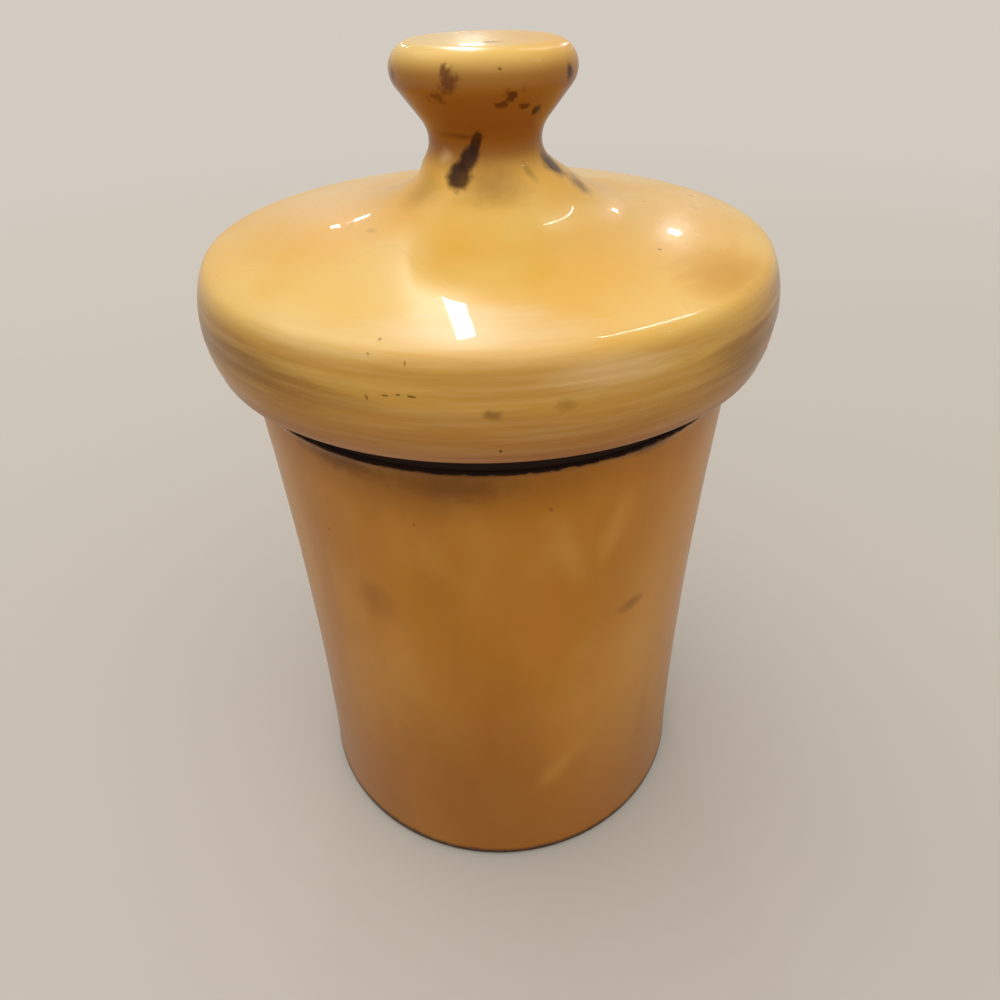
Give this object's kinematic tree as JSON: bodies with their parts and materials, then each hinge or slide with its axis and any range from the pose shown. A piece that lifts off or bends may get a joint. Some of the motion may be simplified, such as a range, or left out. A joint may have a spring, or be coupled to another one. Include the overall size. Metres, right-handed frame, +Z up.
{
  "type": "ceramic tea canister",
  "caption": "Honey-yellow glazed ceramic canister with a straight jar, a dark collar, and an overhanging domed lid with a flared knob",
  "frame": {"origin": "middle of the foot, on the surface that the canister stands on", "axes": "+Z up along the turning axis; the lid's chipped place lies 65 degrees from -Y towards +X"},
  "size_m": [0.1088, 0.1088, 0.17],
  "materials": {
    "jar_glaze": "glossy glaze, worn",
    "lid_glaze": "glossy glaze, brushed"
  },
  "bodies": {
    "root": {"jar": "jar_glaze", "lid": "lid_glaze"}
  },
  "joints": []
}
